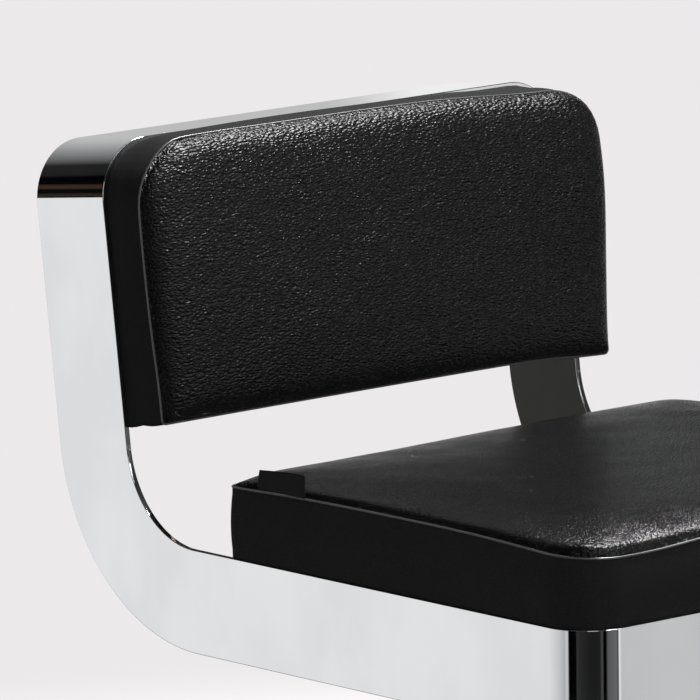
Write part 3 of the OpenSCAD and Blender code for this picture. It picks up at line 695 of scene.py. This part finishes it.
def pad_block(outline, side_h, crown, rate):
    """The cut foam: a flat foot, upright sides and a low crown in rings."""
    bm = bmesh.new()
    foot = bm.faces.new([bm.verts.new(p) for p in outline])
    top = foot
    rings = [(1, side_h * k / 4) for k in (1, 2, 3, 4)]
    ways = [(k / 9) ** 1.7 for k in range(1, 9)]
    rings += [(1 - way, side_h + crown * float(swell(way, rate))) for way in ways]
    size, height = 1, 0
    for ring_size, ring_height in rings:
        drawn = bmesh.ops.extrude_face_region(bm, geom=[top])
        verts = [g for g in drawn["geom"] if isinstance(g, bmesh.types.BMVert)]
        if top is not foot:
            bmesh.ops.delete(bm, geom=[top], context="FACES_ONLY")
        top = next(g for g in drawn["geom"] if isinstance(g, bmesh.types.BMFace))
        bmesh.ops.scale(bm, vec=(ring_size / size, ring_size / size, 1), verts=verts)
        bmesh.ops.translate(bm, vec=(0, 0, ring_height - height), verts=verts)
        size, height = ring_size, ring_height
    bmesh.ops.recalc_face_normals(bm, faces=bm.faces[:])
    return bm


def coords_of(mesh):
    points = np.zeros(len(mesh.vertices) * 3)
    mesh.vertices.foreach_get("co", points)
    return points.reshape(-1, 3)


def settle(piece):
    """Applies a piece's modifiers and takes them off it."""
    graph = bpy.context.evaluated_depsgraph_get()
    mesh = bpy.data.meshes.new_from_object(piece.evaluated_get(graph))
    piece.modifiers.clear()
    piece.data = mesh


def blow_up(piece, held, frames):
    """Cloth under air pressure, held at some points: how far each point moves."""
    group = piece.vertex_groups.new(name="held")
    group.add([int(i) for i in np.flatnonzero(held)], 1.0, "REPLACE")
    cloth = piece.modifiers.new("cover", "CLOTH")
    cloth.settings.vertex_group_mass = "held"
    cloth.settings.use_pressure = True
    cloth.settings.uniform_pressure_force = 4
    cloth.settings.effector_weights.gravity = 0
    cloth.settings.tension_stiffness = cloth.settings.compression_stiffness = 12
    cloth.settings.bending_stiffness = 1.5
    cloth.point_cache.frame_start, cloth.point_cache.frame_end = 1, frames
    start = coords_of(piece.data)
    for number in range(1, frames + 1):
        scene.frame_set(number)
    graph = bpy.context.evaluated_depsgraph_get()
    end = coords_of(piece.evaluated_get(graph).data)
    piece.modifiers.clear()
    scene.frame_set(1)
    return end - start


def closely(points, gap):
    """More points along a closed line, no further than a gap apart."""
    found = []
    for a, b in zip(points, points[1:] + points[:1]):
        count = max(1, math.ceil((b - a).length / gap))
        found += [a.lerp(b, k / count) for k in range(count)]
    return found


class Seam:
    """The line where a pad's side and top are sewn together, at one height above its foot."""

    def __init__(self, outline, height):
        line = closely(outline, 1 * mm)
        self.places = np.array([(p.x, p.y) for p in line])
        ahead = np.roll(self.places, -2, axis=0) - np.roll(self.places, 2, axis=0)
        ahead /= np.linalg.norm(ahead, axis=1)[:, None]
        self.outward = np.stack([ahead[:, 1], -ahead[:, 0]], axis=1)
        self.half = self.places.max(0)
        self.tree = KDTree(len(line))
        for i, p in enumerate(line):
            self.tree.insert((p.x, p.y, height), i)
        self.tree.balance()

    def nearest(self, points):
        """Index of the nearest point of the seam, and the distance to it, for each point."""
        found = [self.tree.find(p)[1:] for p in points]
        return np.array([f[0] for f in found]), np.array([f[1] for f in found])


def smooth_share(value, low, high):
    share = np.clip((value - low) / (high - low), 0, 1)
    return share * share * (3 - 2 * share)


def dip_of(points, dips):
    """How far the seam's dips lower each point: (x, y, depth, reach) on either side."""
    total = np.zeros(len(points))
    for x, y, depth, reach in dips:
        away = (np.abs(points[:, 0]) - x) ** 2 + (points[:, 1] - y) ** 2
        total += depth * np.exp(-away / reach**2)
    return total


def place_seam(points, form):
    """Draws the long sides in and lowers the seam in dips. The stuffing's uneven push moves the
    upper part (pulls), the middle of the sides (bulges) and the foot (drops)."""
    points = points.copy()
    raised = smooth_share(points[:, 2], 0, 0.35 * form["side_h"])
    halfway = np.sin(np.pi * np.clip(points[:, 2] / form["side_h"], 0, 1))
    start = points.copy()
    for kind, where in (("pulls", raised), ("bulges", halfway), ("drops", 1 - raised)):
        for x, y, reach_x, reach_y, push in form[kind]:
            away = ((start[:, 0] - x) / reach_x) ** 2 + ((start[:, 1] - y) / reach_y) ** 2
            points += (np.exp(-away) * where)[:, None] * np.array(push)
    half_x, half_y = form["half"]
    share_x, share_y = points[:, 0] / half_x, points[:, 1] / half_y
    points[:, 0] -= form["draw_in"] * share_x * np.clip(1 - share_y**2, 0, 1)
    points[:, 1] -= form["draw_in"] * share_y * np.clip(1 - share_x**2, 0, 1)
    height = points[:, 2] / form["side_h"]
    below = np.clip(height, 0, 1)
    above = np.clip(1 - (points[:, 2] - form["side_h"]) / form["crown"], 0, 1)
    points[:, 2] -= dip_of(points, form["dips"]) * np.where(height < 1, below, above)
    return points


voxel = 6 * mm
# The groove in the panel beside the seam, the crease in the boxing below it, and the foot's edge
groove_in, groove_w = 1.7 * mm, 0.9 * mm
crease_down, crease_w, crease_depth = 4.5 * mm, 1.5 * mm, 0.3 * mm
foot_zone, foot_edge_w = 6 * mm, 1.6 * mm
ripple_h = 0.35 * mm
# Sewing forms all within the first distance of the seam, and fades out at the second
sewn_near, sewn_far = 5 * mm, 11 * mm
blow_frames = 20


def sewn_shape(points, seam, form):
    """The form that sewing gives a blown-up pad: its seam, rolled edge, groove and sides."""
    side_h, crown, roll, bulge = (form[k] for k in ("side_h", "crown", "roll", "bulge"))
    nearest, away = seam.nearest(points)
    base, outward = seam.places[nearest], seam.outward[nearest]
    inside = np.clip(-((points[:, :2] - base) * outward).sum(1), 0, None)
    run = inside + np.minimum(points[:, 2] - side_h, 0)
    on_top = run > 0

    over = np.clip(run, 0, None)
    top_xy = base - outward * over[:, None]
    share = 1 - np.abs(top_xy / seam.half).max(1)
    lift = roll * (1 - np.exp(-over / form["roll_reach"]))
    groove = form["groove"] * np.exp(-(((over - groove_in) / groove_w) ** 2))
    top_z = side_h + (crown - roll) * swell(share, form["rate"]) + lift - groove

    low = points[:, 2] < foot_zone
    up, in_ = points[:, 2] - inside - foot_edge_w, inside - points[:, 2] - foot_edge_w
    stretch = foot_zone / (foot_zone - foot_edge_w)
    side_z = np.where(low, np.clip(up * stretch, 0, None), side_h + np.minimum(run, 0))
    set_in = np.where(low, np.clip(in_, 0, None), 0)
    down = side_h - side_z
    out = bulge * np.sin(np.pi * np.clip(side_z / side_h, 0, 1)) - set_in
    out -= form["foot_in"] * (1 - side_z / side_h) ** 2
    if form["groove"]:
        out -= crease_depth * np.exp(-(((down - crease_down) / crease_w) ** 2))
    side_xy = base + outward * out[:, None]

    near = 1 - smooth_share(away, sewn_near, sewn_far)
    foot_edge = low & (inside < foot_zone)
    side_weight = np.where(foot_edge, 1, np.where(low, 0, np.maximum(near, 0.8)))
    weight = np.where(on_top, near, side_weight)[:, None]
    formed = np.where(
        on_top[:, None], np.column_stack([top_xy, top_z]), np.column_stack([side_xy, side_z]),
    )
    left = points + np.column_stack([np.zeros((len(points), 2)), np.where(on_top, lift, 0)])
    shaped = weight * formed + (1 - weight) * left
    flat = np.zeros(len(points))
    for x, y, share, reach in form["flat_corners"]:
        gap = (np.abs(points[:, 0]) - x) ** 2 + (points[:, 1] - y) ** 2
        flat += share * np.exp(-gap / reach**2)
    shaped[:, 2] -= flat * np.clip(shaped[:, 2] - side_h, 0, None)
    return shaped, 1 - smooth_share(run, -2 * mm, 0.3 * mm)


def sewn_pad(name, form, place):
    """A sewn cushion on a flat foot at z = 0, blown up, seamed, and put in its place."""
    side_h, crown = form["side_h"], form["crown"] - form["roll"]
    outline = pad_outline(*form["half"], *form["radii"])
    low_crown = 0.8
    pad = mesh_object(name, pad_block(outline, side_h, crown * low_crown, form["rate"]))
    remesh = pad.modifiers.new("even_mesh", "REMESH")
    remesh.mode = "VOXEL"
    remesh.voxel_size = voxel
    settle(pad)
    points = coords_of(pad.data)
    seam = Seam(outline, side_h)
    near_seam = seam.nearest(points)[1] < 0.7 * voxel
    moves = blow_up(pad, near_seam | (points[:, 2] < 0.3 * voxel), blow_frames)
    on_top = points[:, 2] > side_h
    lift = crown * (1 - low_crown) / moves[on_top, 2].max()
    spread = form["bulge"] / np.abs(moves[~on_top, :2]).max()
    points += moves * np.where(on_top, lift, spread)[:, None]
    pad.data.vertices.foreach_set("co", points.ravel())
    soft = pad.modifiers.new("soft_foam", "SUBSURF")
    soft.levels = soft.render_levels = 1
    settle(pad)
    bm = bmesh.new()
    bm.from_mesh(pad.data)
    bmesh.ops.smooth_vert(
        bm, verts=[v for v in bm.verts if v.co.z > voxel], factor=0.5,
        use_axis_x=True, use_axis_y=True, use_axis_z=True,
    )
    for reach in (6 * mm, 3.5 * mm) + ((2 * mm,) if form["groove"] else ()):
        away = seam.nearest([v.co for v in bm.verts])[1]
        close = [e for e in bm.edges if max(away[v.index] for v in e.verts) < reach]
        bmesh.ops.subdivide_edges(bm, edges=close, cuts=1, use_grid_fill=True)
        bm.verts.index_update()
    bm.to_mesh(pad.data)
    bm.free()
    points, boxing = sewn_shape(coords_of(pad.data), seam, form)
    ripple = np.array([noise.noise(p * 28) + 1.6 * noise.noise(p * 9) for p in map(Vector, points)])
    points[:, 2] += ripple * ripple_h * smooth_share(points[:, 2], 0.9 * side_h, side_h + crown)
    points = place_seam(points, form)
    pad.data.vertices.foreach_set("co", points.ravel())
    pad.data.attributes.new("boxing", "FLOAT", "POINT").data.foreach_set("value", boxing)
    pad.data.transform(place)
    pad.data.shade_smooth()
    return pad


def leather(name, grain_size, stretch, wander, gloss, relief):
    """Black pebbled upholstery leather: domes with creases between them, in rows that wander by
    a number of grains. The boxing is smooth and matt."""
    material, paint, shader = finish_of(name)
    place = object_coords(paint)
    boxing = paint.add("ShaderNodeAttribute", {"attribute_name": "boxing"}, output="Fac")
    warp = paint.noise(place, 5 * grain_size, 2.0, 0.5, 1)
    stray = paint.add(
        "ShaderNodeVectorMath", {"operation": "SCALE"}, {0: warp, "Scale": wander * grain_size},
    )
    moved = paint.add("ShaderNodeVectorMath", {"operation": "ADD"}, {0: place, 1: stray})
    drawn = paint.stretched(moved, stretch)
    cells = paint.add(
        "ShaderNodeTexVoronoi", {"feature": "SMOOTH_F1"},
        {"Vector": drawn, "Scale": 1 / grain_size, "Smoothness": 0.5, "Randomness": 1.0},
    )
    fine = paint.noise(drawn, 0.5 * grain_size, 2.0)
    patches = paint.noise(place, 40 * mm, 2.0)
    dome = 1 - paint.step(cells, 0.05, 0.75)
    height = ((1 - cells) * (0.85 + 0.3 * patches) + 0.15 * fine) * (1 - 0.95 * boxing)
    # Painted shade: the creases are coloured darker than the domes. The boxing is given a paler
    # colour.
    pale = 0.3 * dome + 0.7 * boxing
    dye_and_crease_shade = paint.mix((0.0006, 0.0006, 0.0008, 1), (0.005, 0.005, 0.0055, 1), pale)
    matt_share = 0.08 * (1 - dome) + 0.06 * patches + 0.5 * boxing
    paint.plug(shader.inputs["Base Color"], dye_and_crease_shade)
    paint.plug(shader.inputs["Roughness"], gloss + matt_share)
    paint.plug(shader.inputs["Normal"], paint.bump(height, relief))
    shader.inputs["Specular IOR Level"].default_value = 0.3
    return material


def upholster(piece, material, *nodes):
    """Covers a pad, which then takes the place of its CAD node."""
    piece.data.materials.append(material)
    ride_as(piece, *nodes)


cushion_low, cushion_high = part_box("seat_cushion")
seat_swell = 2.5 * mm
# A pad's form: half its sizes, the radii of its front and rear corners, the height and bulge of
# its sides, the rise and steepness of its crown, the roll at the crown's edge, and then local
# changes, each at (x, y) with its reach
seat_form = {
    "half": (cushion_high.x - seat_swell, (cushion_high.y - cushion_low.y) / 2 - seat_swell),
    "radii": (front_bend_r, 8 * mm), "side_h": 61 * mm, "crown": 14.8 * mm, "rate": 7,
    "roll": 6 * mm, "roll_reach": 3.6 * mm, "bulge": seat_swell, "foot_in": -0.7 * mm,
    "groove": 0.5 * mm, "draw_in": 0.8 * mm, "bulges": [], "drops": [],
    "dips": [(0.19, -0.205, 6.5 * mm, 90 * mm), (0.25, 0.21, 2 * mm, 50 * mm)],
    "pulls": [(-0.13, 0.17, 0.13, 0.08, (0, 0, -2.2 * mm))],
    "flat_corners": [(0.248, 0.209, 0.6, 22 * mm)],
}
seat_place = Matrix.Translation((0, (cushion_high.y + cushion_low.y) / 2, cushion_low.z))
seat_leather = leather("seat_leather", 1.8 * mm, (1, 1, 1), 1.0, 0.15, 0.55 * mm)
seat_pad = sewn_pad("seat_upholstery", seat_form, seat_place)
upholster(seat_pad, seat_leather, "seat_cushion")


# The label: a bare woven satin tab, folded and sewn into the seat's seam on the sitter's right.
# It stands up from the seam, and its rear corner leans in over the cushion.
label_low, label_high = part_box("side_label")
label_len = label_high.y - label_low.y
label_t = 0.7 * mm
front_h, rear_drop = 18.5 * mm, 3.5 * mm
front_lean, rear_lean = 0.4 * mm, 1.6 * mm
crumple_h = 0.35 * mm
bm = bmesh.new()
bmesh.ops.create_grid(bm, x_segments=38, y_segments=12, size=0.5)
for v in bm.verts:
    along, up = v.co.x + 0.5, v.co.y + 0.5
    tall = front_h - rear_drop * along**2
    lean = front_lean + rear_lean * along**2
    wave = crumple_h * math.sin(7 * along) * up
    v.co = label_low + Vector((lean * up**2 + wave, label_len * along, tall * up))
bmesh.ops.recalc_face_normals(bm, faces=bm.faces[:])
bmesh.ops.solidify(bm, geom=bm.faces[:], thickness=label_t)
bmesh.ops.recalc_face_normals(bm, faces=bm.faces[:])
label = mesh_object("satin_tab", bm)
satin, paint, shader = finish_of("woven_satin")
place = object_coords(paint)
warp_thread, weft = (
    paint.add(
        "ShaderNodeTexWave", {"bands_direction": way},
        {"Vector": place, "Scale": threads, "Distortion": uneven},
    )
    for way, threads, uneven in (("Y", 420.0, 0.4), ("Z", 260.0, 0.3))
)
crumple = paint.noise(place, 12 * mm, 2.0)
weave = 0.6 * warp_thread + 0.4 * weft
satin_tone = paint.mix((0.004, 0.004, 0.005, 1), (0.011, 0.011, 0.012, 1), weave)
paint.plug(shader.inputs["Base Color"], satin_tone)
paint.plug(shader.inputs["Roughness"], 0.6 + 0.12 * weave + 0.1 * crumple)
paint.plug(shader.inputs["Normal"], paint.bump(0.5 * weave + crumple, 0.12 * mm))
shader.inputs["Specular IOR Level"].default_value = 0.12
label.data.materials.append(satin)
ride_as(label, "side_label")


# The back's boards: a birch board on two steel angles carries the back cushion. Behind it a thin
# padded panel stands on wooden spacers between the uprights, over a moulded trim.
back_birch = birch_plywood("back_birch", rake - math.pi / 2)
eased("birch_back_board", "back_board", 0.8 * mm, back_birch)
keep_form(back_birch, "panel_spacers")
eased("right_angle_iron", "right_back_angle", 0.5 * mm, coat)
eased("left_angle_iron", "left_back_angle", 0.5 * mm, coat)
eased("lower_trim", "bottom_trim", 0.8 * mm, plastic)
panel_low_up, panel_high_up = 95 * mm, 316 * mm
panel_behind, panel_t = 60 * mm, 20 * mm
panel_form = {
    "half": (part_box("rear_panel")[1].x, (panel_high_up - panel_low_up) / 2),
    "radii": (4 * mm, 44 * mm), "side_h": 12 * mm, "crown": panel_t - 12 * mm, "rate": 9,
    "roll": 3 * mm, "roll_reach": 4 * mm, "bulge": 0.3 * mm, "foot_in": 0.6 * mm, "groove": 0,
    "draw_in": 0.3 * mm, "dips": [], "pulls": [], "bulges": [], "drops": [], "flat_corners": [],
}
panel_centre = on_slope(0, panel_behind, (panel_low_up + panel_high_up) / 2)
panel_axes = Matrix((Vector((-1, 0, 0)), upward, backward)).transposed().to_4x4()
panel_place = Matrix.Translation(panel_centre) @ panel_axes
upholster(sewn_pad("rear_upholstery", panel_form, panel_place), seat_leather, "rear_panel")


# The back cushion is made like the seat's, thinner, with round upper corners that follow the top
# bends of the band. It stands on the uprights' front edges.
back_low = 92 * mm
back_high = upright_len - 1 * mm
back_form = {
    "half": (half_w - 1.4 * mm, (back_high - back_low) / 2),
    "radii": (4 * mm, top_bend_r), "side_h": 42 * mm, "crown": 14 * mm, "rate": 5,
    "roll": 11 * mm, "roll_reach": 6.5 * mm, "bulge": 3 * mm, "foot_in": 2 * mm,
    "groove": 1 * mm, "draw_in": 0.6 * mm, "dips": [], "flat_corners": [],
    "pulls": [
        (-0.235, 0.1, 0.035, 0.035, (3 * mm, -3 * mm, 0)),
        (0.215, 0.115, 0.1, 0.05, (0, -7.6 * mm, 0)),
        (0.25, 0.035, 0.07, 0.075, (7 * mm, 0, 2.5 * mm)),
        (0.242, 0.1, 0.03, 0.03, (1.5 * mm, 2.6 * mm, 0)),
        (0.25, -0.112, 0.06, 0.045, (-4 * mm, -4.5 * mm, 0)),
        (-0.25, -0.105, 0.05, 0.06, (4 * mm, 0, 0)),
    ],
    "bulges": [
        (0.14, 0.115, 0.13, 0.06, (0, 1.5 * mm, 0)), (-0.08, 0.115, 0.1, 0.06, (0, 2 * mm, 0)),
    ],
    "drops": [(-0.25, -0.115, 0.03, 0.03, (0, -4.5 * mm, 0))],
}
back_place = Matrix.Translation(on_slope(0, 0, (back_low + back_high) / 2)) @ Matrix.Rotation(
    math.pi / 2 - rake, 4, "X"
)
back_leather = leather("back_leather", 1.7 * mm, (0.42, 1, 1), 1.6, 0.27, 1.0 * mm)
upholster(sewn_pad("back_upholstery", back_form, back_place), back_leather, "back_cushion")


# The welts: a narrow folded edge of glossier leather, sewn in between the boxing and the panel
# all round each cushion. It follows the seam through its dips and pulls.
welt_r = 0.9 * mm
welt_leather, paint, shader = finish_of("welt_leather")
creases = paint.noise(object_coords(paint), 1.4 * mm)
# Painted highlight: the welt's colour is far paler than the cushions' leather, so that it shows as
# a bright line along the seam.
welt_highlight_tone = paint.mix((0.03, 0.03, 0.031, 1), (0.05, 0.05, 0.052, 1), creases)
paint.plug(shader.inputs["Base Color"], welt_highlight_tone)
paint.plug(shader.inputs["Roughness"], 0.26 + 0.1 * creases)
shader.inputs["Specular IOR Level"].default_value = 1.0


def welt(name, form, place):
    """A round bead along a pad's seam."""
    outline = closely(pad_outline(*form["half"], *form["radii"]), 8 * mm)
    points = place_seam(np.array([(p.x, p.y, form["side_h"]) for p in outline]), form)
    curve = bpy.data.curves.new(name, "CURVE")
    curve.dimensions = "3D"
    curve.bevel_depth = welt_r
    curve.bevel_resolution = 3
    line = curve.splines.new("POLY")
    line.points.add(len(points) - 1)
    for point, at in zip(line.points, points):
        point.co = (*(place @ Vector(at)), 1)
    line.use_cyclic_u = True
    piece = bpy.data.objects.new(name, curve)
    scene.collection.objects.link(piece)
    curve.materials.append(welt_leather)
    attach(piece, "seat")


welt("seat_welt", seat_form, seat_place)
welt("back_welt", back_form, back_place)
